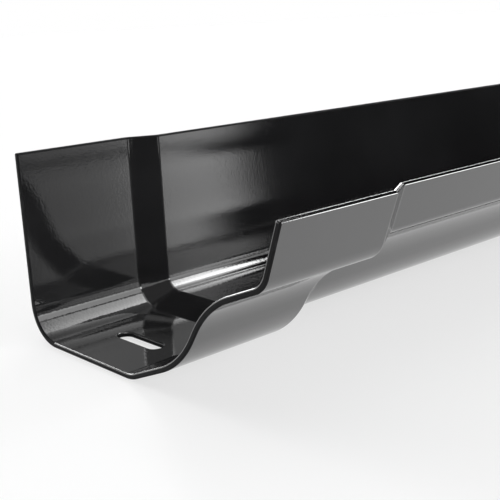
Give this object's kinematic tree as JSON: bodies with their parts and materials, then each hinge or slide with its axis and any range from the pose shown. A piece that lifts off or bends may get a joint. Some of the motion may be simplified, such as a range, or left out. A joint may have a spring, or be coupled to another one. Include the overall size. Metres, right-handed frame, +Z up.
{
  "type": "moulded ogee gutter length",
  "caption": "Moulded ogee gutter length in gloss black coated sheet, with an enlarged socket end, a joggled shoulder and a crosswise bolt slot in the socket's sole.",
  "frame": {"origin": "middle of the footprint, level with the underside of the socket's sole", "axes": "+X along the gutter, away from the socket end; +Y towards the back wall; -Y is the ogee front; +Z up"},
  "size_m": [1.829, 0.143, 0.075],
  "materials": {
    "black_coat": "high-gloss black powder coat with fine orange peel"
  },
  "bodies": {
    "root": {"gutter_length": "black_coat"}
  },
  "joints": []
}
